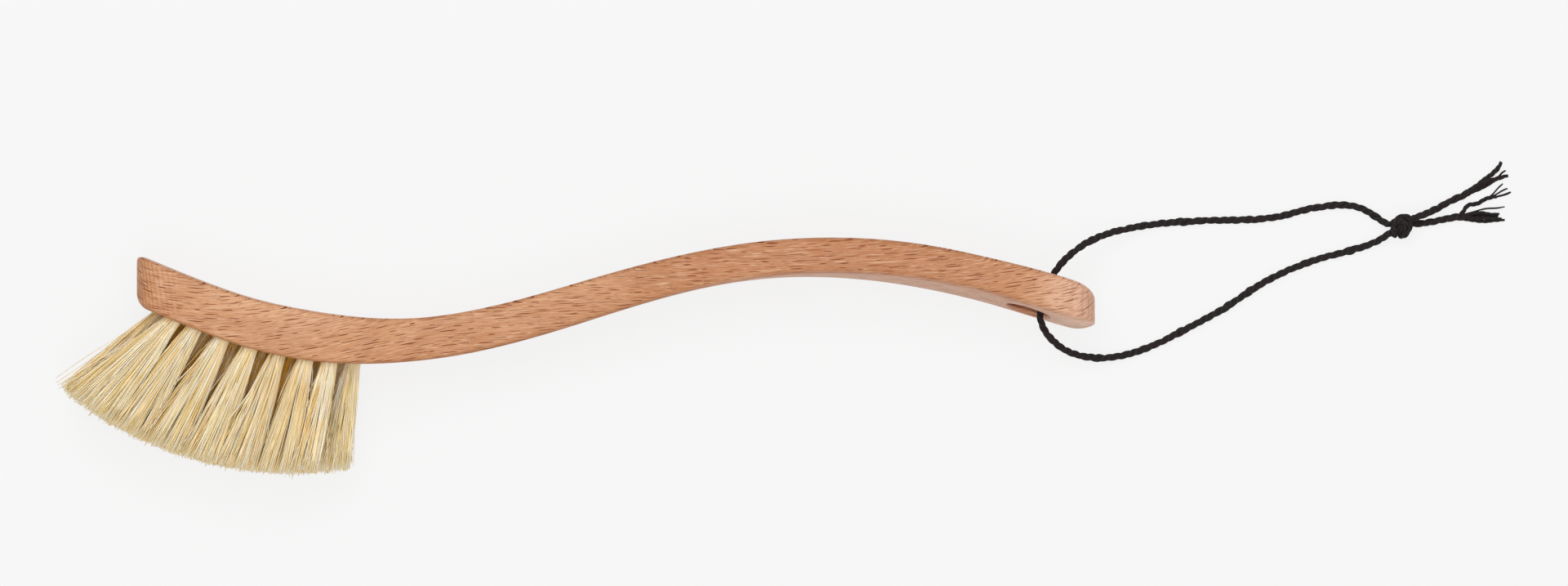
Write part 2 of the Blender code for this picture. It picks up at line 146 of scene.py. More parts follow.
# Tufts that stand in the open, and the most depth their fibres count as lying at, which caps their
# golden-brown painted shade.
OPEN_TUFTS = {"left_1": 0.3, "middle_1": 0.35, "right_1": 0.3, "middle_8": 0.05}

# Cord: three plies twisted together.
CORD_DIAMETER = 0.0019
KNOT_ENTRY = 0.0023
KNOT_HEIGHT = 0.0056
CORD_GAP = 0.0003
FLOOR_CLEARANCE = 0.00005
CORD_DROP = 0.0006
PLIES = 3
LAY_LENGTH = 0.0072
PLY_SHARE = 0.56
CORD_FULLNESS = 1.08
PLY_WANDER = 0.3
PLY_WANDER_LENGTH = 0.0058
PLY_SWELL = 0.09
PLY_SWELL_LENGTHS = (0.0016, 0.0067)
CORD_STEP = 0.00045
PATH_EVERY = 8
YARN_ARC_STEPS = 3

# Cord routes, as in the part's source up to the knot and the frays: X and Y from the middle of the
# hanging hole, and the height above the table as a share of the height in the hole.
UPPER_ROUTE = (
    (0.0039, 0.0003, 1.0), (0.0057, 0.0051, 1.0), (0.0079, 0.0080, 0.983), (0.0115, 0.0114, 0.861),
    (0.0169, 0.0147, 0.60), (0.0219, 0.0165, 0.348), (0.0271, 0.0177, 0.139), (0.0327, 0.0186, 0.017),
    (0.0394, 0.0192, 0.0), (0.0483, 0.0197, 0.0), (0.0550, 0.0198, 0.0), (0.0618, 0.0201, 0.0),
    (0.0685, 0.0210, 0.0), (0.0752, 0.0228, 0.0), (0.0808, 0.0237, 0.0), (0.0863, 0.0239, 0.0),
    (0.0897, 0.0232, 0.0), (0.0928, 0.0216, 0.02), (0.0953, 0.0199, 0.08), (0.0975, 0.0186, 0.13),
)
LOWER_ROUTE = (
    (0.0039, -0.0003, 1.0), (0.0020, -0.0054, 1.0), (0.0023, -0.0083, 0.974), (0.0039, -0.0112, 0.887),
    (0.0069, -0.0143, 0.696), (0.0102, -0.0163, 0.504), (0.0159, -0.0177, 0.252), (0.0215, -0.0177, 0.078),
    (0.0282, -0.0163, 0.004), (0.0372, -0.0125, 0.0), (0.0483, -0.0067, 0.0), (0.0528, -0.0042, 0.0),
    (0.0618, 0.0018, 0.0), (0.0707, 0.0063, 0.0), (0.0774, 0.0089, 0.0), (0.0841, 0.0107, 0.0),
    (0.0897, 0.0123, 0.0), (0.0946, 0.0142, 0.045), (0.0980, 0.0163, 0.12),
)
UPPER_TAIL_ROUTE = (
    (0.1040, 0.0202, 0.29), (0.1065, 0.0211, 0.24), (0.1095, 0.0224, 0.10), (0.1123, 0.0238, 0.01),
    (0.1154, 0.0254, 0.0), (0.1185, 0.0269, 0.0), (0.1217, 0.0291, 0.0),
)
LOWER_TAIL_ROUTE = (
    (0.1044, 0.0189, 0.06), (0.1066, 0.0190, 0.01), (0.1095, 0.0194, 0.0), (0.1132, 0.0201, 0.0),
    (0.1161, 0.0207, 0.0), (0.1185, 0.0211, 0.0),
)
KNOT_PLACE = (0.1010, 0.0183)

# Lumps in the yarn of each leg: distance from the hole, and how much thicker the cord is there.
UPPER_LUMPS = ((0.0470, 0.30), (0.0655, 0.16), (0.0205, 0.14), (0.0890, 0.12))
LOWER_LUMPS = ((0.0760, 0.22), (0.0545, 0.16), (0.0690, 0.14), (0.1060, 0.16), (0.0300, 0.12))
LUMP_LENGTH = 0.0009

# Frayed ends: the diameter of each loose yarn, its height above the table, and its route.
UPPER_FRAY = (
    (0.00135, 0.0, ((0.1165, 0.0258), (0.1217, 0.0292), (0.1248, 0.0316), (0.1275, 0.0340),
                    (0.1285, 0.0357))),
    (0.00125, 0.0, ((0.1165, 0.0256), (0.1217, 0.0284), (0.1244, 0.0300), (0.1279, 0.0314),
                    (0.1303, 0.0320))),
    (0.00110, 0.0008, ((0.1165, 0.0257), (0.1210, 0.0285), (0.1235, 0.0301), (0.1256, 0.0312))),
    (0.00052, 0.0004, ((0.1250, 0.0303), (0.1276, 0.0315), (0.1287, 0.0328), (0.1297, 0.0334))),
    (0.00070, 0.0, ((0.1175, 0.0263), (0.1206, 0.0274), (0.1236, 0.0287), (0.1254, 0.0297),
                    (0.1270, 0.0307))),
)
LOWER_FRAY = (
    (0.00122, 0.0, ((0.1140, 0.0203), (0.1170, 0.0210), (0.1183, 0.0226), (0.1195, 0.0239),
                    (0.1217, 0.0243), (0.1237, 0.0254), (0.1256, 0.0260), (0.1272, 0.0262))),
    (0.00046, 0.0003, ((0.1240, 0.0254), (0.1262, 0.0270), (0.1275, 0.0285), (0.1289, 0.0298))),
    (0.00046, 0.0002, ((0.1250, 0.0259), (0.1273, 0.0270), (0.1286, 0.0278), (0.1302, 0.0285))),
    (0.00056, 0.0, ((0.1255, 0.0258), (0.1279, 0.0264), (0.1297, 0.0269), (0.1311, 0.0275))),
    (0.00100, 0.0, ((0.1140, 0.0201), (0.1185, 0.0201), (0.1212, 0.0197), (0.1239, 0.0195),
                    (0.1266, 0.0197), (0.1294, 0.0199))),
    (0.00105, 0.0006, ((0.1145, 0.0203), (0.1192, 0.0206), (0.1225, 0.0204), (0.1255, 0.0204),
                       (0.1285, 0.0201))),
    (0.00044, 0.0004, ((0.1165, 0.0207), (0.1194, 0.0217), (0.1212, 0.0222), (0.1246, 0.0230),
                       (0.1270, 0.0231), (0.1294, 0.0235))),
    (0.00090, 0.0006, ((0.1160, 0.0205), (0.1203, 0.0215), (0.1230, 0.0219), (0.1255, 0.0214),
                       (0.1279, 0.0216))),
    (0.00085, 0.0, ((0.1160, 0.0203), (0.1208, 0.0210), (0.1239, 0.0211), (0.1258, 0.0209),
                    (0.1277, 0.0211))),
)
FRAY_LAY_LENGTH = 0.0050
THIN_YARN = 0.0006
THINNING_START = 0.85
TAIL_THINNING = 0.35
YARN_THINNING = 0.3

# The knot's two strands, in millimetres from its middle, and the half sizes in metres of the solid
# core that they lie round.
KNOT_STRANDS = (
    ((-3.1, 0.2, -0.3), (-2.2, 0.8, 0.1), (-1.0, 1.6, 0.6), (0.4, 2.4, 0.9), (1.7, 2.2, 1.1),
     (2.3, 0.9, 1.3), (2.1, -0.7, 1.3), (1.3, -2.0, 1.0), (0.2, -2.7, 0.3), (-0.4, -1.7, -0.9),
     (0.2, -0.3, -1.6), (1.2, 0.9, -1.0), (2.2, 1.5, 0.3), (3.2, 2.0, 1.1)),
    ((-3.1, -1.6, -0.7), (-2.5, -2.1, -0.4), (-1.6, -2.5, 0.3), (-1.9, -1.4, 1.3), (-2.0, 0.0, 1.7),
     (-1.0, 1.2, 2.0), (0.3, 1.2, 2.1), (0.9, 0.0, 2.0), (0.3, -1.1, 1.4), (-0.2, -0.6, 0.2),
     (0.6, 0.2, -0.8), (1.9, 0.5, -1.1), (3.4, 0.6, -1.1)),
)
MILLIMETRES_TO_THE_METRE = 1000
KNOT_CORE = (0.0024, 0.0025, 0.0019)
KNOT_CORE_SEGMENTS = 24
KNOT_CORE_RINGS = 16
KNOT_CORD_SHARE = 0.95
KNOT_TAPER = (-0.04, 0.07)

# Colours, as red, green and blue of linear light.
BEECH_BROWN = (0.602, 0.284, 0.126)
BEECH_LIGHT = (0.695, 0.366, 0.192)
BEECH_ORANGE = (0.575, 0.250, 0.098)
BEECH_TIP = (0.930, 0.600, 0.460)
BEECH_RING = (0.440, 0.180, 0.075)
BEECH_STREAK = (0.490, 0.205, 0.080)
BEECH_PALE_STREAK = (0.850, 0.555, 0.355)
BEECH_UNDERSIDE_PAINTED_SHEEN = (0.880, 0.620, 0.500)
NECK_TONE_AND_TOE_PAINTED_SHADE = (0.80, 0.65, 0.51)
EDGE_PAINTED_SHADE = (0.78, 0.66, 0.56)
HOLE_RIM_PAINTED_SHADE = (0.92, 0.74, 0.58)
HOLE_PAINTED_SHADE = (0.55, 0.38, 0.28)
FIBRE_TINTS = (
    (0.00, (1.00, 0.95, 0.80)), (0.22, (1.00, 0.91, 0.70)), (0.42, (1.00, 0.95, 0.80)),
    (0.58, (0.99, 0.89, 0.67)), (0.70, (0.92, 0.75, 0.39)), (0.78, (0.86, 0.83, 0.43)),
    (0.86, (1.00, 0.94, 0.76)), (0.95, (0.80, 0.58, 0.28)), (0.996, (0.06, 0.045, 0.03)),
)
FIBRE_PATCH = (0.88, 0.68, 0.36)
FIBRE_INNER_PAINTED_SHADE = (0.98, 0.74, 0.30)
FIBRE_DEEP_PAINTED_SHADE = (0.97, 0.71, 0.31)
FIBRE_ROOT_PAINTED_SHADE = (0.93, 0.50, 0.06)
FIBRE_TIP_PAINTED_LIGHT = (1.00, 0.95, 0.84)
COTTON_BLACK = (0.0125, 0.0088, 0.0090)
COTTON_BROWNISH = (0.0175, 0.0095, 0.0100)
COTTON_FUZZ = (0.042, 0.034, 0.034)
WIRE_DARK = (0.50, 0.49, 0.47)
WIRE_LIGHT = (0.66, 0.65, 0.62)
PAPER_DARK = (0.89, 0.89, 0.89)
PAPER_LIGHT = (0.91, 0.91, 0.91)

# Height of the finest relief, on wood and yarn, and how often fibre winds round a metre of yarn.
RELIEF_DEPTH = 0.00012
WINDS_TO_THE_METRE = 620

# Figure of the beech: the width of its growth rings, and the ray flecks, one to a cell.
RING_WIDTH = 0.0017
LONG_FLECKS = {"cell": (0.0053, 0.00100), "half_size": (0.0023, 0.000130), "shift": 0.0}
SHORT_FLECKS = {"cell": (0.0030, 0.00064), "half_size": (0.0013, 0.000090), "shift": 4.7}
LONG_FLECK_BROWN = (0.225, 0.046, 0.006)
SHORT_FLECK_BROWN = (0.310, 0.092, 0.022)

# Camera: straight above, far away, at the photograph's scale.
PIXELS_WIDE = 1920
PIXELS_PER_METRE = 4500.0
SENSOR_WIDTH = 36.0
CAMERA_PLACE = (0.14909, 0.00707)
CAMERA_HEIGHT = 4.0
CLIP_RANGE = (0.1, 100.0)

# Surroundings, and the lamps: the place, diameter and power of each.
BACKGROUND = (0.930, 0.930, 0.930)
FLOOR_SIZE = 60.0
FLOOR_SELF_LIGHT = 0.88
WORLD_STRENGTH = 0.60
WINDOW_LAMP = ((-0.12, 0.75, 1.5), 1.2, 10.0)
FILL_LAMP = ((0.28, -0.5, 1.6), 1.4, 7.7)
LAMP_AIM = (0.1, 0, 0)

# Start of the random draws.
SEED = 11


# Smooth curves through chosen points.
def natural_curve(points):
    """A natural cubic through (place, height) points, as a function of the place."""
    x, y = (np.array(column, dtype=float) for column in zip(*points))
    gap = np.diff(x)
    slope = np.diff(y) / gap
    count = len(x)
    rows = np.eye(count)
    bends = np.zeros(count)
    for i in range(1, count - 1):
        rows[i, i - 1 : i + 2] = gap[i - 1], 2 * (gap[i - 1] + gap[i]), gap[i]
        bends[i] = 6 * (slope[i] - slope[i - 1])
    bends = np.linalg.solve(rows, bends)

    def height(place):
        i = int(np.clip(np.searchsorted(x, place) - 1, 0, count - 2))
        before, after = (x[i + 1] - place) / gap[i], (place - x[i]) / gap[i]
        bend = (before**3 - before) * bends[i] + (after**3 - after) * bends[i + 1]
        return float(before * y[i] + after * y[i + 1] + bend * gap[i] ** 2 / 6)

    return height


def eased_curve(points):
    """Runs through (place, size) points without overshoot, level wherever two sizes are equal."""
    x, y = (np.array(column, dtype=float) for column in zip(*points))
    slope = np.diff(y) / np.diff(x)
    tangent = [0.0]
    for a, b in zip(slope[:-1], slope[1:]):
        tangent.append(2 * a * b / (a + b) if a * b > 0 else 0.0)
    tangent.append(0.0)

    def size(place):
        i = int(np.clip(np.searchsorted(x, place) - 1, 0, len(x) - 2))
        gap = x[i + 1] - x[i]
        t = (place - x[i]) / gap
        ends = (1 + 2 * t) * (1 - t) ** 2 * y[i] + t**2 * (3 - 2 * t) * y[i + 1]
        pulls = t * (1 - t) ** 2 * tangent[i] - t**2 * (1 - t) * tangent[i + 1]
        return float(ends + gap * pulls)

    return size


def smooth_step(place, start, end):
    t = min(max((place - start) / (end - start), 0.0), 1.0)
    return t * t * (3 - 2 * t)


def round_inset(run, distance, depth=None):
    """How far a corner draws an outline in, at a distance from its end: round unless it has a depth."""
    if distance >= run:
        return 0.0
    depth = run if depth is None else depth
    return depth * (1 - math.sqrt(1 - (1 - distance / run) ** 2))


def eased_inset(run, distance, depth):
    """How far a long shallow curve draws an outline in, ending in a sharp corner."""
    return depth * (1 - distance / run) ** 2 if distance < run else 0.0


def curve_through(points, step):
    """Points at even steps along a smooth curve through given points."""
    lengths = [0.0]
    for a, b in zip(points[:-1], points[1:]):
        lengths.append(lengths[-1] + (b - a).length)
    axes = [natural_curve(list(zip(lengths, column))) for column in zip(*points)]
    count = max(2, round(lengths[-1] / step))
    return [Vector(axis(lengths[-1] * i / count) for axis in axes) for i in range(count + 1)]


# Shader maths and materials.
class Shade:
    """A socket of a material's nodes. Arithmetic on it adds Math nodes to the same material."""

    def __init__(self, tree, socket):
        self.tree = tree
        self.socket = socket

    def node(self, kind, settings=(), inputs=(), output=0):
        """Adds a node of any kind, sets it up, fills or links its sockets, and gives one output."""
        made = self.tree.nodes.new(kind)
        for name, value in dict(settings).items():
            if name == "stops":
                while len(made.color_ramp.elements) < len(value):
                    made.color_ramp.elements.new(0.5)
                for stop, (place, colour) in zip(made.color_ramp.elements, value):
                    stop.position = place
                    stop.color = (*colour, 1)
            else:
                setattr(made, name, value)
        for key, value in dict(inputs).items():
            if isinstance(value, Shade):
                self.tree.links.new(value.socket, made.inputs[key])
            else:
                made.inputs[key].default_value = value
        return Shade(self.tree, made.outputs[output])

    def maths(self, operation, *others):
        return self.node("ShaderNodeMath", {"operation": operation}, enumerate((self, *others)))

    def __add__(self, other):
        return self.maths("ADD", other)

    def __sub__(self, other):
        return self.maths("SUBTRACT", other)

    def __mul__(self, other):
        return self.maths("MULTIPLY", other)

    def __truediv__(self, other):
        return self.maths("DIVIDE", other)

    def __rsub__(self, other):
        return self.node("ShaderNodeMath", {"operation": "SUBTRACT"}, {0: other, 1: self})

    __radd__ = __add__
    __rmul__ = __mul__

    def split(self):
        made = self.tree.nodes.new("ShaderNodeSeparateXYZ")
        self.tree.links.new(self.socket, made.inputs[0])
        return [Shade(self.tree, output) for output in made.outputs]

    def join(self, x, y, z):
        return self.node("ShaderNodeCombineXYZ", (), enumerate((x, y, z)))

    def noise(self, detail=2.0, roughness=0.5):
        """Smooth noise from 0 to 1 at this point, with features of about one unit."""
        inputs = {"Vector": self, "Scale": 1.0, "Detail": detail, "Roughness": roughness}
        return self.node("ShaderNodeTexNoise", (), inputs)

    def stretch(self, low, high, to_low=0.0, to_high=1.0):
        """Turns the range from low to high into another, smoothly and without going past it."""
        inputs = {"Value": self, 1: low, 2: high, 3: to_low, 4: to_high}
        return self.node("ShaderNodeMapRange", {"interpolation_type": "SMOOTHSTEP"}, inputs)

    def ramp(self, *stops):
        return self.node("ShaderNodeValToRGB", {"stops": stops}, {0: self})

    def mix(self, first, second, blend="MIX"):
        """The first colour where this is 0, and the second where it is 1."""
        colours = [c if isinstance(c, Shade) else (*c, 1) for c in (first, second)]
        inputs = {0: self, 6: colours[0], 7: colours[1]}
        return self.node("ShaderNodeMix", {"data_type": "RGBA", "blend_type": blend}, inputs, 2)

    def tinted(self, tint):
        """This colour times one plain tint."""
        inputs = {0: 1.0, 6: self, 7: (*tint, 1)}
        return self.node("ShaderNodeMix", {"data_type": "RGBA", "blend_type": "MULTIPLY"}, inputs, 2)

    def attribute(self, name):
        return self.node("ShaderNodeAttribute", {"attribute_name": name}, (), "Fac")


def new_material(name, **sockets):
    """A material, its shader node, and the point on the object as a Shade."""
    finish = bpy.data.materials.new(name)
    finish.use_nodes = True
    tree = finish.node_tree
    shader = tree.nodes["Principled BSDF"]
    for socket, value in sockets.items():
        shader.inputs[socket.replace("_", " ")].default_value = value
    coordinates = tree.nodes.new("ShaderNodeTexCoord")
    return finish, shader, Shade(tree, coordinates.outputs["Object"])


def feed(shader, socket, value):
    value.tree.links.new(value.socket, shader.inputs[socket])


def bump(shader, height, strength):
    inputs = {"Height": height, "Strength": strength, "Distance": RELIEF_DEPTH}
    feed(shader, "Normal", height.node("ShaderNodeBump", (), inputs))


def flecks(x, across, cell, half_size, shift):
    """Spindle-shaped ray flecks, one to a cell: 0 between them, and in each how dark it is."""
    point = x.join(x / cell[0] + shift, across / cell[1], 0.0)
    settings = {"feature": "F1", "voronoi_dimensions": "2D"}
    inputs = {"Vector": point, "Scale": 1.0, "Randomness": 1.0}
    nearest = point.node("ShaderNodeTexVoronoi", settings, inputs, "Position")
    draws = point.node("ShaderNodeTexVoronoi", settings, inputs, "Color")
    offset = point.node("ShaderNodeVectorMath", {"operation": "SUBTRACT"}, {0: point, 1: nearest})
    along, over, _ = offset.split()
    length, dark, width = draws.split()
    reach = along * cell[0] / (half_size[0] * (0.4 + length))
    thick = over * cell[1] / (half_size[1] * (0.65 + 0.7 * width))
    spot = reach * reach + thick * thick
    return spot.stretch(0.35, 1.0, 1.0, 0.0) * dark.stretch(0.0, 0.7, 0.25, 1.0)


def grain_height(at, x, y, z):
    """Height over the grain's own lines, which follow the handle's bow and wander a little."""
    drift = at.join(x * 14, y * 45, z * 45).noise(1) - 0.5
    toe_fall = x.stretch(-0.045, -0.001, 0.0, -0.0062)
    head_rise = x.stretch(0.0, 0.060, 0.0, 0.0047)
    tip_rise = x.stretch(0.190, 0.260, 0.0, 0.0040)
    return y + 0.45 * z - (x * 0.060 + toe_fall + head_rise + tip_rise) + 0.0016 * drift


def beech_ground(at, x, y, z, cloud):
    """Clouded brown and orange, darker from the neck to the grip, a little painted shade on the toe's
    rounded end, and pale pink at the tip.
    """
    colour = cloud.stretch(0.35, 0.68).mix(BEECH_BROWN, BEECH_LIGHT)
    orange = at.join(x * 16 + 9.0, y * 120, z * 60).noise(2).stretch(0.5, 0.75)
    colour = (orange * 0.6).mix(colour, BEECH_ORANGE)
    neck = x.stretch(0.030, 0.065) * 0.58 + x.stretch(0.090, 0.130) * 0.42
    grip = neck * x.stretch(0.205, 0.226, 1.0, 0.15)
    # Painted shade: the toe's rounded end is a little darker.
    toe = x.stretch(-0.021, -0.011, 0.15, 0.0)
    colour = (grip + toe).mix(colour, NECK_TONE_AND_TOE_PAINTED_SHADE, "MULTIPLY")
    tip = x.stretch(0.214, 0.232)
    return (tip * 0.75).mix(colour, BEECH_TIP)


def growth_rings(at, x, y, z, colour):
    """Soft brown bands along the wood, which lean and grow darker close to the toe."""
    warp = at.join(x * 9, y * 60 + 5.0, z * 60).noise(1) - 0.5
    lean = (x + 0.0155).maths("MINIMUM", 0.0)
    turns = (z + 0.16 * y + 1.25 * lean + 0.006 * warp) * (2 * math.pi / RING_WIDTH)
    rings = turns.maths("SINE").stretch(0.1, 1.0) * (0.30 + lean * -90.0)
    return rings.mix(colour, BEECH_RING)


def painted_sheen_and_edge_shade(at, x, colour):
    """The underside of the grip a little pinker, a painted sheen for the pale floor's reflection, and
    painted shade on the edges that turn down.
    """
    _, outward, facing = at.node("ShaderNodeTexCoord", (), (), "Normal").split()
    # Painted reflection: grip faces that turn down to the bristle side are mixed towards a pale pink
    # sheen.
    under = outward.stretch(-0.85, -0.40, 1.0, 0.0) * x.stretch(0.090, 0.140)
    colour = (under * 0.22).mix(colour, BEECH_UNDERSIDE_PAINTED_SHEEN)
    # Painted shade: the rounded edges, whose faces turn away from straight up, are multiplied darker.
    edge = facing.stretch(0.55, 0.95, 1.0, 0.0) * facing.stretch(0.12, 0.35)
    return (edge * 0.55).mix(colour, EDGE_PAINTED_SHADE, "MULTIPLY")


def beech(name="beech_oiled", shade=None):
    """Oiled beech: fibre along X, tilted ray sheets that show as dark flecks, and soft rings."""
    finish, shader, at = new_material(name)
    x, y, z = at.split()
    across = grain_height(at, x, y, z)
    cloud = at.join(x * 22 + 3.1, y * 70, z * 50).noise(2)
    colour = beech_ground(at, x, y, z, cloud)
    colour = growth_rings(at, x, y, z, colour)

    streak = at.join(x * 90, across * 2600, z * 900).noise(3, 0.6)
    colour = (streak.stretch(0.35, 0.72) * 0.46).mix(colour, BEECH_STREAK)
    pale = at.join(x * 160 + 7, across * 3600, z * 1300).noise(3, 0.65)
    colour = (pale.stretch(0.48, 0.72) * 0.60).mix(colour, BEECH_PALE_STREAK)

    dark = flecks(x, across, **LONG_FLECKS)
    short = flecks(x, across, **SHORT_FLECKS)
    colour = (short * 0.70).mix(colour, SHORT_FLECK_BROWN)
    colour = dark.mix(colour, LONG_FLECK_BROWN)
    colour = painted_sheen_and_edge_shade(at, x, colour)
    # A shade gives a darker copy, used for painted shade in the holes.
    if shade is not None:
        colour = colour.tinted(shade)
    feed(shader, "Base Color", colour)
    feed(shader, "Roughness", 0.40 + 0.12 * streak + 0.05 * cloud + 0.35 * dark)
    bump(shader, 0.6 * streak - 0.8 * dark - 0.3 * short, 0.35)
    return finish


def plant_fibre():
    """Straw-coloured fibre, each with its own tint, with golden-brown painted shade where it lies deep or
    in the core of its tuft, and painted light that makes it paler towards the tips.
    """
    finish, shader, at = new_material("plant_fibre_pale", Specular_IOR_Level=0.05)
    colour = at.attribute("tint").ramp(*FIBRE_TINTS)
    x, y, z = at.split()
    patch = at.join(x * 900, y * 900, z * 900).noise(2)
    colour = (patch.stretch(0.5, 0.85) * 0.15).mix(colour, FIBRE_PATCH)
    # Painted shade: fibres in the core of a tuft, away from its skin, are warmer and more golden.
    inner = at.attribute("skin").stretch(0.5, 0.97, 0.80, 0.0)
    colour = inner.mix(colour, FIBRE_INNER_PAINTED_SHADE)
    along = at.attribute("along")
    # Painted shade: fibres that lie deep in the brush, between the rows, turn golden brown, most of all
    # towards their roots.
    deep = at.attribute("depth").stretch(0.05, 0.70)
    colour = (deep * 0.50).mix(colour, FIBRE_DEEP_PAINTED_SHADE)
    root = along.stretch(0.45, 0.78, 1.0, 0.0)
    colour = (deep * deep * root).mix(colour, FIBRE_ROOT_PAINTED_SHADE)
    # Painted light: the fibres grow paler towards their tips, lifting the shade on them.
    tip = along.stretch(0.6, 1.0)
    colour = (tip * 0.6).mix(colour, FIBRE_TIP_PAINTED_LIGHT)
    feed(shader, "Base Color", colour)
    feed(shader, "Roughness", 0.36 + 0.2 * patch)
    return finish


def black_cotton():
    """Dyed cotton yarn: fine fibres wound round each ply, with dull brownish stretches."""
    finish, shader, at = new_material("black_cotton_yarn", Specular_IOR_Level=0.25)
    around = at.node("ShaderNodeUVMap", {"uv_map": "UVMap"}).split()[1]
    along = at.attribute("along") * at.attribute("length")
    turns = (around * 2 + along * WINDS_TO_THE_METRE) * (2 * math.pi)
    wound = turns.maths("SINE").stretch(-1, 1)
    fuzz = at.join(around * 6, along * 2600, 0.0).noise(3, 0.7)
    x, y, z = at.split()
    patch = at.join(x * 60, y * 60, z * 60).noise(1)
    colour = patch.stretch(0.4, 0.65).mix(COTTON_BLACK, COTTON_BROWNISH)
    colour = (wound * 0.3 + fuzz.stretch(0.5, 0.8) * 0.5).mix(colour, COTTON_FUZZ)
    feed(shader, "Base Color", colour)
    feed(shader, "Roughness", 0.7 + 0.2 * fuzz)
    bump(shader, wound + fuzz, 0.7)
    return finish


def anchor_wire():
    """Drawn steel wire, flattened, with fine marks along it."""
    finish, shader, at = new_material("anchor_wire_drawn", Metallic=1.0)
    x, y, z = at.split()
    marks = at.join(x * 9000, y * 9000, z * 900).noise(2)
    feed(shader, "Base Color", marks.mix(WIRE_DARK, WIRE_LIGHT))
    feed(shader, "Roughness", 0.28 + 0.2 * marks)
    return finish


# Pieces.
def mesh_from(bm, name):
    """A mesh made of a bmesh, which is then given up."""
    mesh = bpy.data.meshes.new(name)
    bm.to_mesh(mesh)
    bm.free()
    return mesh


def add_piece(mesh, name, finish):
    """A piece that rides on the brush, which is one body."""
    piece = bpy.data.objects.new(name, mesh)
    bpy.context.scene.collection.objects.link(piece)
    mesh.materials.clear()
    mesh.materials.append(finish)
    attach(piece, "root")
    return piece


def loft(rings):
    """A closed solid through rings of points: a grid rolled up along them, with its ends filled."""
    bm = bmesh.new()
    along, around = len(rings) - 1, len(rings[0])
    made = bmesh.ops.create_grid(bm, x_segments=along, y_segments=around, size=0.5)
    for vert in made["verts"]:
        i, j = round((vert.co.x + 0.5) * along), round((vert.co.y + 0.5) * around)
        vert.co = rings[i][j % around]
    bmesh.ops.remove_doubles(bm, verts=made["verts"], dist=MERGE_DISTANCE)
    bmesh.ops.holes_fill(bm, edges=[edge for edge in bm.edges if edge.is_boundary], sides=0)
    bmesh.ops.recalc_face_normals(bm, faces=bm.faces)
    return bm


def turned(profile, steps, matrix):
    """A closed solid from a profile of (radius, height) points, turned about local Z."""
    bm = bmesh.new()
    verts = [bm.verts.new((radius, 0, height)) for radius, height in profile]
    edges = [bm.edges.new(pair) for pair in zip(verts[:-1], verts[1:])]
    bmesh.ops.spin(bm, geom=verts + edges, cent=(0, 0, 0), axis=(0, 0, 1), angle=2 * math.pi,
                   steps=steps, use_merge=True)
    bmesh.ops.remove_doubles(bm, verts=bm.verts, dist=MERGE_DISTANCE)
    bmesh.ops.recalc_face_normals(bm, faces=bm.faces)
    bm.transform(matrix)
    return bm


def strand_mesh(name, strands, arc_steps, labels):
    """One mesh of many closed strands, each given as points, radii and values for its labels."""
    curve = bpy.data.curves.new(name, "CURVE")
    curve.dimensions = "3D"
    curve.bevel_depth = 1.0
    curve.bevel_resolution = arc_steps
    curve.use_fill_caps = True
    for points, radii, _ in strands:
        spline = curve.splines.new("POLY")
        spline.points.add(len(points) - 1)
        spline.points.foreach_set("co", np.column_stack((points, np.ones(len(points)))).ravel())
        spline.points.foreach_set("radius", radii)
    thing = bpy.data.objects.new(name, curve)
    bpy.context.scene.collection.objects.link(thing)
    seen = bpy.context.evaluated_depsgraph_get()
    seen.update()
    mesh = bpy.data.meshes.new_from_object(thing.evaluated_get(seen))
    bpy.data.objects.remove(thing)
    bpy.data.curves.remove(curve)

    # Each strand's vertices come as its end cap, its start cap and then its rings in order, and each
    # of these has four sides and two more for every step of an arc.
    sides = 4 + 2 * arc_steps
    along = [np.repeat(np.concatenate(([1, 0], np.linspace(0, 1, len(points)))), sides)
             for points, _, _ in strands]
    layers = {"along": np.concatenate(along)}
    for label, values in zip(labels, zip(*(values for _, _, values in strands))):
        layers[label] = np.repeat(values, [len(places) for places in along])
    for label, values in layers.items():
        layer = mesh.attributes.new(label, "FLOAT", "POINT")
        layer.data.foreach_set("value", values.astype(np.float32))
    bm = bmesh.new()
    bm.from_mesh(mesh)
    bmesh.ops.remove_doubles(bm, verts=bm.verts, dist=MERGE_DISTANCE)
    bmesh.ops.recalc_face_normals(bm, faces=bm.faces)
    bm.to_mesh(mesh)
    bm.free()
    mesh.shade_smooth()
    return mesh


# Handle.
bow = natural_curve([(s * HANDLE_LENGTH, h * BOW_HEIGHT) for s, h in BOW_SHARES])
plan_width = eased_curve([
    (0, HEAD_WIDTH), (HEAD_STRAIGHT, HEAD_WIDTH), (NECK_PLACE, NECK_WIDTH),
    (GRIP_FULL, GRIP_WIDTH), (HANDLE_LENGTH, GRIP_WIDTH),
])
side_thickness = eased_curve([(s * HANDLE_LENGTH, t * HEAD_THICKNESS) for s, t in THICKNESS_SHARES])


def centre_height(place):
    return bow(place) - bow(REST_PLACE)


def edge_radius(place):
    ease = smooth_step(place, HEAD_STRAIGHT, GRIP_START)
    return HEAD_EDGE_RADIUS + (GRIP_EDGE_RADIUS - HEAD_EDGE_RADIUS) * ease


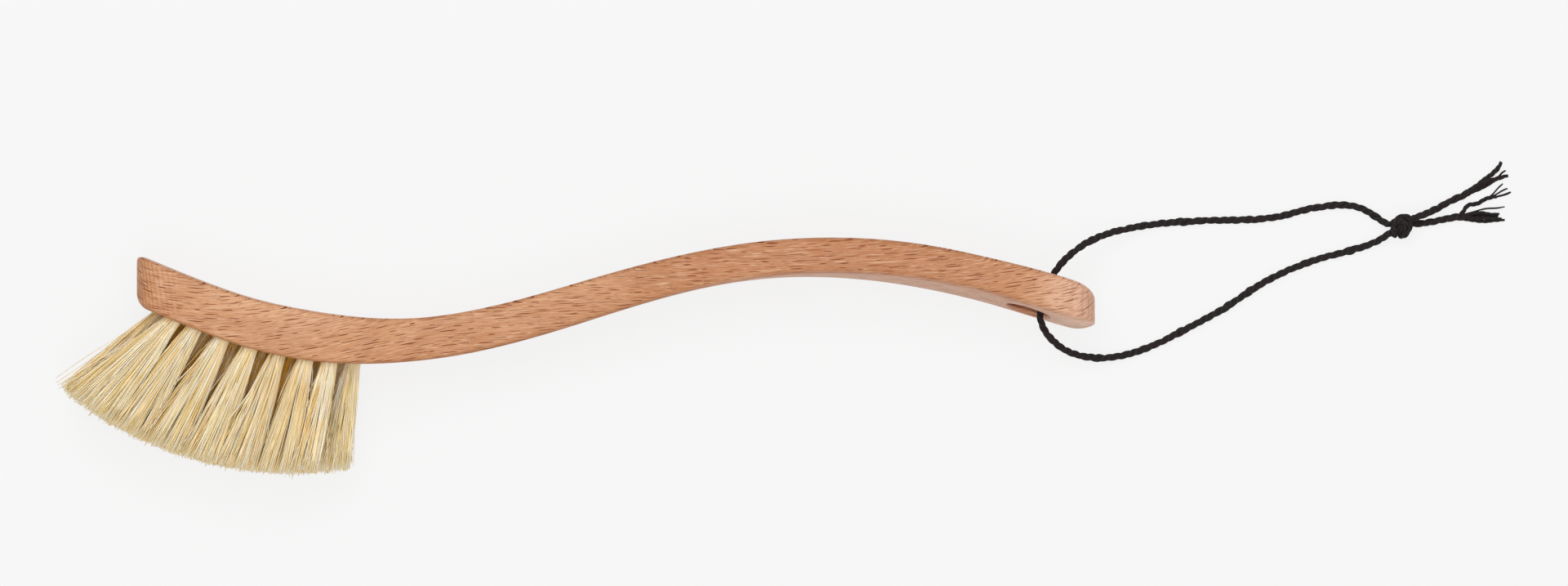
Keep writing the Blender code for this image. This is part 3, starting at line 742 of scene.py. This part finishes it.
def section(place):
    """Outline of the handle square to X: a rounded rectangle, turned by the grip's twist."""
    to_tip = HANDLE_LENGTH - place
    half_width = plan_width(place) / 2
    half_width -= round_inset(TOE_CORNER, place) + round_inset(TIP_CORNER, to_tip)
    half = side_thickness(place) / 2
    top = half - round_inset(TOE_BACK_EDGE, place)
    top -= round_inset(TIP_BACK_RUN, to_tip, TIP_BACK_DEPTH)
    bottom = half - round_inset(TOE_LOWER_EDGE, place)
    bottom -= eased_inset(TIP_LOWER_RUN, to_tip, TIP_LOWER_DEPTH)
    radius = min(edge_radius(place), LARGEST_EDGE_SHARE * min(2 * half_width, top + bottom))
    outline = []
    for quarter, (across, up) in enumerate(((1, top), (-1, top), (-1, -bottom), (1, -bottom))):
        middle = Vector((across * (half_width - radius), up - math.copysign(radius, up)))
        for step in range(CORNER_STEPS + 1):
            angle = (quarter + step / CORNER_STEPS) * math.pi / 2
            outline.append(middle + radius * Vector((math.cos(angle), math.sin(angle))))
    twist = GRIP_TWIST * smooth_step(place, TWIST_START, TWIST_END)
    x, height = place - REST_PLACE, centre_height(place)
    points = []
    for i, corner in enumerate(outline):
        following = outline[(i + 1) % len(outline)]
        steps = FLAT_STEPS if i % (CORNER_STEPS + 1) == CORNER_STEPS else 1
        for step in range(steps):
            a, u = corner.lerp(following, step / steps)
            turned_up = u * math.cos(twist) + a * math.sin(twist)
            turned_across = a * math.cos(twist) - u * math.sin(twist)
            points.append(Vector((x, height + turned_up, HEAD_WIDTH / 2 + turned_across)))
    return points


def stations():
    """Places of the sections: close together round the two ends, evenly spaced between."""
    turns = [1 - math.cos(step / END_STEPS * math.pi / 2) for step in range(END_STEPS)]
    toe = [TOE_CORNER * turn for turn in turns]
    tip = [HANDLE_LENGTH - TIP_CORNER * turn for turn in reversed(turns)]
    run = HANDLE_LENGTH - TOE_CORNER - TIP_CORNER
    count = max(2, round(run / STATION_STEP))
    middle = [TOE_CORNER + run * i / count for i in range(count + 1)]
    return toe + middle + tip


def hang_hole_matrix():
    """Frame of the hanging hole: local Z square to the handle, local X along it."""
    place = HANDLE_LENGTH - HANG_HOLE_FROM_TIP
    rise = bow(place + SLOPE_STEP) - bow(place - SLOPE_STEP)
    centre = Vector((place - REST_PLACE, centre_height(place), HEAD_WIDTH / 2))
    slope = Matrix.Rotation(math.atan2(rise, 2 * SLOPE_STEP), 4, "Z")
    return Matrix.Translation(centre) @ slope @ Matrix.Rotation(-math.pi / 2, 4, "X")


def hang_hole_cutter(rim, inside):
    """The hanging hole with its two mouths rounded over, and painted shade on its inside, darker than the
    painted shade on their rims.
    """
    half = side_thickness(HANDLE_LENGTH - HANG_HOLE_FROM_TIP) / 2
    radius = HANG_HOLE_DIAMETER / 2
    mouth = []
    for step in range(FLARE_STEPS + 1):
        angle = step / FLARE_STEPS * math.pi / 2
        flare = HANG_HOLE_FLARE * (1 - math.cos(angle))
        mouth.append((radius + flare, half - HANG_HOLE_FLARE * (1 - math.sin(angle))))
    mouth.append((radius + HANG_HOLE_FLARE + OVERRUN, half + OVERRUN))
    mouth.append((0, half + OVERRUN))
    profile = [(size, -height) for size, height in reversed(mouth)] + mouth
    bm = turned(profile, HANG_HOLE_SIDES, Matrix())
    # Faces deeper than the outer part of each mouth take the inside's darker painted shade.
    for face in bm.faces:
        if abs(face.calc_center_median().z) < half - RIM_SHARE * HANG_HOLE_FLARE:
            face.material_index = 1
    bm.transform(hang_hole_matrix())
    return bm, (rim, inside)


def hole_cutter(matrix, inside):
    """A round blind hole for one tuft, from its root into the wood, whose walls take the painted shade of
    the hanging hole's inside.
    """
    bm = bmesh.new()
    middle = matrix @ Matrix.Translation((0, 0, (OVERRUN - HOLE_DEPTH) / 2))
    bmesh.ops.create_cone(bm, cap_ends=True, segments=HOLE_SIDES, radius1=HOLE_DIAMETER / 2,
                          radius2=HOLE_DIAMETER / 2, depth=HOLE_DEPTH + OVERRUN, matrix=middle)
    return bm, (inside,)


def cut(piece, cutters):
    """Cuts the shapes out of a piece and keeps the result as its own mesh."""
    collection = bpy.data.collections.new("cutters")
    bpy.context.scene.collection.children.link(collection)
    shapes = []
    for bm, finishes in cutters:
        mesh = mesh_from(bm, "cutter")
        for finish in finishes:
            mesh.materials.append(finish)
        shapes.append(bpy.data.objects.new("cutter", mesh))
        collection.objects.link(shapes[-1])
    step = piece.modifiers.new("cut", "BOOLEAN")
    step.operation, step.solver, step.material_mode = "DIFFERENCE", "EXACT", "TRANSFER"
    step.operand_type, step.collection = "COLLECTION", collection
    seen = bpy.context.evaluated_depsgraph_get()
    seen.update()
    mesh = bpy.data.meshes.new_from_object(piece.evaluated_get(seen))
    piece.modifiers.clear()
    piece.data = mesh
    for shape in shapes:
        bpy.data.objects.remove(shape)
    bpy.data.collections.remove(collection)


def make_handle(tuft_frames):
    """The lofted handle with its hanging hole and a blind hole at each tuft's frame."""
    # Darker copies of the beech: painted shade on the rims of the hanging hole's mouths, and deeper
    # painted shade inside it and in the tuft holes.
    rim = beech("beech_hole_rim_painted_shade", HOLE_RIM_PAINTED_SHADE)
    inside = beech("beech_hole_inside_painted_shade", HOLE_PAINTED_SHADE)
    mesh = mesh_from(loft([section(place) for place in stations()]), "handle_body")
    mesh.shade_smooth()
    piece = add_piece(mesh, "handle_body", beech())
    holes = [hole_cutter(matrix, inside) for matrix in tuft_frames]
    cut(piece, [hang_hole_cutter(rim, inside)] + holes)
    piece.data.shade_smooth()
    piece.data.set_sharp_from_angle(angle=SMOOTH_ANGLE)
    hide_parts("handle")


# Tufts.
def row_roots(shares, side):
    """Root points of one row of tufts: side is 0 for the middle row, 1 and -1 for the outer ones."""
    roots = []
    for share in shares:
        place = FIRST_TUFT + share * TUFTED_LENGTH
        height = centre_height(place) - side_thickness(place) / 2
        offset = side * OUTER_ROW_SHARE * plan_width(place) / 2
        roots.append(Vector((place - REST_PLACE, height, HEAD_WIDTH / 2 + offset)))
    return roots


def in_plan(point):
    """The middle of the fan or of the trim arc, moved from the toe's end to the brush's origin."""
    return Vector((point[0] - REST_PLACE, point[1], 0))


def trimmed(root, aim, radius):
    """Where the line from root through aim leaves the round trim surface."""
    centre = in_plan(TRIM_CENTRE)
    way = aim - root
    out = root - centre
    a = way.x**2 + way.y**2
    b = out.x * way.x + out.y * way.y
    c = out.x**2 + out.y**2 - radius**2
    return root + way * ((math.sqrt(b * b - a * c) - b) / a)


def tuft_tip(root, side):
    """Where a tuft's own ray of the fan meets the trim, a little further out for an outer row."""
    centre = in_plan(FAN_CENTRE)
    away = Vector((root.x - centre.x, root.y - centre.y, 0))
    tip = trimmed(root, root + away, TRIM_RADIUS)
    tip.z = root.z + side * ROW_SPLAY
    return tip


def tuft_matrix(root, tip):
    """Frame of a tuft: origin at its root, local Z towards its tip, local Y across the brush."""
    z = (tip - root).normalized()
    x = Vector((0, 0, 1)).cross(z).normalized()
    y = z.cross(x)
    return Matrix.Translation(root) @ Matrix((x, y, z)).transposed().to_4x4()


def make_tuft(name, finish, root, tip, fans, draw):
    """A tuft of many thin fibres, fanned out from its hole and trimmed to the arc."""
    matrix = tuft_matrix(root, tip)
    turn = matrix.to_3x3()
    length = (tip - root).length
    t = np.linspace(0, 1, FIBRE_POINTS)
    clumps = draw.uniform(-1, 1, (CLUMPS, 2))
    at_toe = name.endswith("_1")
    count = TOE_FIBRE_COUNT if at_toe else FIBRE_COUNT
    stray_share = TOE_STRAY_SHARE if at_toe else STRAY_SHARE
    strands = []
    for i in range(count + LOOSE_COUNT):
        angle, share = draw.uniform(0, 2 * math.pi), draw.uniform(0, 1) ** SKIN_POWER
        x, y = share * math.cos(angle), share * math.sin(angle)
        stray = draw.uniform() < stray_share
        start = matrix @ Vector((TUFT_RADIUS * x, TUFT_RADIUS * y, 0))
        inner = matrix @ Vector((TUFT_RADIUS * x, TUFT_RADIUS * y, FIBRE_START))
        clump = min(clumps, key=lambda c: (c[0] - x) ** 2 + (c[1] - y) ** 2)
        x = (1 - CLUMP_PULL) * x + CLUMP_PULL * clump[0]
        y = (1 - CLUMP_PULL) * y + CLUMP_PULL * clump[1]
        scatter = draw.normal(0, STRAY_SCATTER if stray else TIP_SCATTER, 2)
        fan_along = fans[0] if x < 0 else fans[1]
        aim = Vector((fan_along * x + scatter[0],
                      FAN_ACROSS * y + SCATTER_ACROSS_SHARE * scatter[1], length))
        reach = abs(draw.normal(0, STRAY_REACH)) if stray else draw.normal(0, TRIM_SPREAD)
        end = trimmed(start, matrix @ aim, TRIM_RADIUS + reach)
        end.z = min(max(end.z, 3 * FIBRE_RADIUS), HEAD_WIDTH - FIBRE_RADIUS)
        side, sway = (turn @ Vector((*draw.normal(0, BOW_OF_FIBRE, 2), 0)) for _ in range(2))
        if i >= count:
            kept = draw.uniform(*LOOSE_REACH)
            swing, bend, lift = draw.normal(0, kept * length, 3)
            end = start.lerp(end, kept) + turn @ Vector((LOOSE_SWING * swing, 0, 0))
            side = turn @ Vector((LOOSE_BOW * bend, LOOSE_BOW / 3 * lift, 0))
        line = np.outer(1 - t, start) + np.outer(t, end)
        line += np.outer(np.sin(t * math.pi), side)
        line += np.outer(np.sin(t * 2 * math.pi), sway) * SWAY_SHARE
        line[:, 2] = np.clip(line[:, 2], 2 * FIBRE_RADIUS, HEAD_WIDTH)
        radii = np.full(FIBRE_POINTS + 1, FIBRE_RADIUS * draw.uniform(*FIBRE_GIRTHS))
        radii[-1] *= FIBRE_TIP_SHARE
        # How deep a fibre lies in the brush, which sets its painted shade.
        deep = 1 - abs(start.z - HEAD_WIDTH / 2) / ROW_REACH
        deep = min(deep, OPEN_TUFTS.get(name, 1.0))
        strands.append((np.vstack((inner, line)), radii, (draw.uniform(), deep, share)))
    mesh = strand_mesh("bristles_" + name, strands, 0, ("tint", "depth", "skin"))
    piece = add_piece(mesh, "bristles_" + name, finish)
    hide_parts("tuft_" + name)


def tuft_plan():
    """Every tuft's name, root, tip and how far it fans out to each side along the brush."""
    plan = []
    rows = (("left", LEFT_ROW_SHARES, 1, OUTER_FIRST_FAN_SHARE),
            ("middle", MIDDLE_ROW_SHARES, 0, FIRST_FAN_SHARE),
            ("right", RIGHT_ROW_SHARES, -1, OUTER_FIRST_FAN_SHARE))
    for row, shares, side, first in rows:
        roots = row_roots(shares, side)
        tips = [tuft_tip(root, side) for root in roots]
        gaps = [(b - a).length for a, b in zip(tips[:-1], tips[1:])]
        fans = [first * gaps[0] / 2, *(FAN_SHARE * gap / 2 for gap in gaps),
                LAST_FAN_SHARE * gaps[-1] / 2]
        for i, (root, tip) in enumerate(zip(roots, tips)):
            plan.append((row + "_" + str(i + 1), root, tip, fans[i:i + 2]))
    return plan


# Cord.
def hang_hole_centre():
    return hang_hole_matrix().translation


def route_points(route):
    """Route points in the brush's frame, from the hanging hole down to the table."""
    centre = hang_hole_centre()
    rest = CORD_DIAMETER / 2 + FLOOR_CLEARANCE
    in_hole = centre.z - CORD_DROP
    return [Vector((centre.x + x, centre.y + y, rest + (in_hole - rest) * share))
            for x, y, share in route]


def knot_centre():
    centre = hang_hole_centre()
    return Vector((centre.x + KNOT_PLACE[0], centre.y + KNOT_PLACE[1], KNOT_HEIGHT / 2))


def lengths_along(points):
    lengths = [0.0]
    for a, b in zip(points[:-1], points[1:]):
        lengths.append(lengths[-1] + (b - a).length)
    return lengths


def twisted(points, diameter, lay, draw, lumps=(), taper=None):
    """The plies of a cord, or one yarn where it is thin, as strands wound round a path."""
    plies = PLIES if diameter > THIN_YARN else 1
    radius = diameter / 2 * CORD_FULLNESS
    ply_radius = radius * PLY_SHARE if plies > 1 else radius
    lengths = lengths_along(points)
    up = Vector((0, 0, 1))
    sides = []
    for i in range(len(points)):
        direction = (points[min(i + 1, len(points) - 1)] - points[max(i - 1, 0)]).normalized()
        side = direction.cross(up).normalized()
        up = side.cross(direction)
        sides.append((side, up.copy()))
    strands = []
    for ply in range(plies):
        wander_phase, short_phase, long_phase, _ = draw.uniform(0, 2 * math.pi, 4)
        line, radii = [], []
        for point, length, (side, rise) in zip(points, lengths, sides):
            turn = 2 * math.pi * (length / lay + ply / plies)
            if plies > 1:
                turn += PLY_WANDER * math.sin(length / PLY_WANDER_LENGTH + wander_phase)
            swell = math.sin(length / PLY_SWELL_LENGTHS[0] + short_phase)
            swell *= math.sin(length / PLY_SWELL_LENGTHS[1] + long_phase)
            size = 1 + PLY_SWELL * swell
            for place, extra in lumps:
                size += extra * math.exp(-(((length - place) / LUMP_LENGTH) ** 2))
            if taper is not None:
                size *= taper(length / lengths[-1])
            offset = (radius - ply_radius) * size
            line.append(point + (side * math.cos(turn) + rise * math.sin(turn)) * offset)
            radii.append(ply_radius * size)
        strands.append((np.array(line), np.array(radii), (lengths[-1],)))
    return strands


def cord_path(route, meets_knot):
    """The cord's own line, with the end that meets the knot moved to just inside it."""
    points = curve_through(route_points(route), CORD_STEP)
    centre = knot_centre()
    way = (points[meets_knot] - centre).normalized()
    points[meets_knot] = centre + way * KNOT_ENTRY
    return points


def make_yarn_piece(name, strands, finish, replaced, core=None):
    """A piece of cord that lies on the table, with a solid ball inside it if it has a core."""
    mesh = strand_mesh(name, strands, YARN_ARC_STEPS, ("length",))
    bm = bmesh.new()
    bm.from_mesh(mesh)
    if core is not None:
        bmesh.ops.create_uvsphere(bm, u_segments=KNOT_CORE_SEGMENTS, v_segments=KNOT_CORE_RINGS,
                                  radius=1, matrix=core)
    for vert in bm.verts:
        vert.co.z = max(vert.co.z, FLOOR_CLEARANCE)
    bm.to_mesh(mesh)
    bm.free()
    mesh.shade_smooth()
    piece = add_piece(mesh, name, finish)
    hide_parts(replaced)
    return piece


def knot_taper(share):
    """Thins a strand of the knot at both ends, where it starts and stops inside the cord."""
    return smooth_step(share, *KNOT_TAPER) * smooth_step(1 - share, *KNOT_TAPER)


def end_taper(thinning):
    """Thins a yarn towards its far end by the share given."""
    return lambda share: 1 - thinning * smooth_step(share, THINNING_START, 1.0)


def make_knot(finish, draw):
    """An overhand knot of both ends: two strands looped over each other round a solid core."""
    centre = knot_centre()
    strands = []
    for shape in KNOT_STRANDS:
        route = [centre + Vector(point) / MILLIMETRES_TO_THE_METRE for point in shape]
        strands += twisted(curve_through(route, CORD_STEP), CORD_DIAMETER * KNOT_CORD_SHARE,
                           LAY_LENGTH, draw, taper=knot_taper)
    core = Matrix.Translation(centre) @ Matrix.Diagonal((*KNOT_CORE, 1))
    return make_yarn_piece("knot", strands, finish, "cord_knot", core)


def make_tail(name, route, fray, finish, replaced, draw):
    """A cord's tail that comes apart into loose yarns at its end."""
    strands = twisted(cord_path(route, 0), CORD_DIAMETER, LAY_LENGTH, draw,
                      taper=end_taper(TAIL_THINNING))
    centre = hang_hole_centre()
    for diameter, height, path in fray:
        rest = FLOOR_CLEARANCE + diameter / 2 + height
        line = [Vector((centre.x + x, centre.y + y, rest)) for x, y in path]
        line[0].z = CORD_DIAMETER / 2
        strands += twisted(curve_through(line, CORD_STEP), diameter, FRAY_LAY_LENGTH, draw,
                           taper=end_taper(YARN_THINNING))
    return make_yarn_piece(name, strands, finish, replaced)


def make_cords(finish):
    """The knot, the two tails and the two legs, which meet in the hanging hole."""
    draw = np.random.default_rng(SEED)
    knot = make_knot(finish, draw)
    tails = [
        make_tail("tail_upper", UPPER_TAIL_ROUTE, UPPER_FRAY, finish, "cord_tail_upper", draw),
        make_tail("tail_lower", LOWER_TAIL_ROUTE, LOWER_FRAY, finish, "cord_tail_lower", draw),
    ]
    middle = hang_hole_centre().y
    legs = (("leg_upper", UPPER_ROUTE, UPPER_LUMPS, 1, "cord_upper"),
            ("leg_lower", LOWER_ROUTE, LOWER_LUMPS, -1, "cord_lower"))
    for name, route, lumps, side, replaced in legs:
        points = cord_path(route, -1)
        points[0].y = middle + side * CORD_GAP / 2
        strands = twisted(points, CORD_DIAMETER, LAY_LENGTH, draw, lumps)
        piece = make_yarn_piece(name, strands, finish, replaced)
        path = [tuple(point) for point in points[::PATH_EVERY]] + [tuple(points[-1])]
        lengths_along(points)[-1]


# Camera, light and floor.
def add_camera():
    """A camera whose lens gives the scale at the height of the side that faces it."""
    data = bpy.data.cameras.new("camera")
    data.sensor_width = SENSOR_WIDTH
    near = CAMERA_HEIGHT - HEAD_WIDTH
    data.lens = SENSOR_WIDTH * near * PIXELS_PER_METRE / PIXELS_WIDE
    data.clip_start, data.clip_end = CLIP_RANGE
    camera = bpy.data.objects.new("camera", data)
    camera.location = (*CAMERA_PLACE, CAMERA_HEIGHT)
    bpy.context.scene.collection.objects.link(camera)
    bpy.context.scene.camera = camera


def add_lamp(name, place, size, power):
    """A round lamp that points at the brush."""
    data = bpy.data.lights.new(name, "AREA")
    data.shape, data.size, data.energy = "DISK", size, power
    light = bpy.data.objects.new(name, data)
    light.location = place
    light.rotation_euler = (Vector(LAMP_AIM) - Vector(place)).to_track_quat("-Z", "Y").to_euler()
    bpy.context.scene.collection.objects.link(light)


def self_lit(tree, light, self_light):
    """Mixes a lit surface with the plain background colour, as the camera and gloss see it."""
    shade = Shade(tree, light)
    path = tree.nodes.new("ShaderNodeLightPath")
    seen = Shade(tree, path.outputs["Is Camera Ray"]) + Shade(tree, path.outputs["Is Glossy Ray"])
    seen = (seen + Shade(tree, path.outputs["Is Transmission Ray"])).maths("MINIMUM", 1.0)
    glow = shade.node("ShaderNodeEmission", (), {"Color": (*BACKGROUND, 1), "Strength": 1.0})
    return shade.node("ShaderNodeMixShader", (), {0: seen * self_light, 1: shade, 2: glow})


def add_floor():
    """Pale paper under the brush, which takes its soft shadow."""
    bm = bmesh.new()
    bmesh.ops.create_grid(bm, x_segments=1, y_segments=1, size=FLOOR_SIZE / 2)
    mesh = mesh_from(bm, "floor")
    floor = bpy.data.objects.new("floor", mesh)
    bpy.context.scene.collection.objects.link(floor)
    finish, shader, at = new_material("floor_paper", Roughness=0.9)
    feed(shader, "Base Color", at.noise(2).mix(PAPER_DARK, PAPER_LIGHT))
    output = finish.node_tree.nodes["Material Output"]
    mixed = self_lit(finish.node_tree, shader.outputs[0], FLOOR_SELF_LIGHT)
    finish.node_tree.links.new(mixed.socket, output.inputs["Surface"])
    mesh.materials.append(finish)


def add_world():
    """Even light from all round, and the plain background where the camera looks past the floor."""
    world = bpy.data.worlds.new("studio")
    world.use_nodes = True
    tree = world.node_tree
    light = tree.nodes["Background"]
    light.inputs["Color"].default_value = (*BACKGROUND, 1)
    light.inputs["Strength"].default_value = WORLD_STRENGTH
    path = tree.nodes.new("ShaderNodeLightPath")
    camera_ray = Shade(tree, path.outputs["Is Camera Ray"])
    shown = camera_ray.node("ShaderNodeBackground", (), {"Color": (*BACKGROUND, 1)})
    inputs = {0: camera_ray, 1: Shade(tree, light.outputs[0]), 2: shown}
    mixed = camera_ray.node("ShaderNodeMixShader", (), inputs)
    tree.links.new(mixed.socket, tree.nodes["World Output"].inputs["Surface"])
    bpy.context.scene.world = world


def finish_anchors():
    """Gives the wire anchors, whose shapes are the part's own, their steel."""
    wire = anchor_wire()
    for name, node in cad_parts.items():
        if name.startswith("anchor_"):
            node.data.materials.clear()
            node.data.materials.append(wire)


def main():
    add_camera()
    make_cords(black_cotton())
    fibre = plant_fibre()
    plan = tuft_plan()
    for i, (name, root, tip, fans) in enumerate(plan):
        make_tuft(name, fibre, root, tip, fans, np.random.default_rng(SEED + i))
    make_handle([tuft_matrix(root, tip) for _, root, tip, _ in plan])
    finish_anchors()
    add_floor()
    add_world()
    add_lamp("window", *WINDOW_LAMP)
    add_lamp("fill", *FILL_LAMP)
    bpy.context.scene.view_settings.view_transform = "Standard"


main()
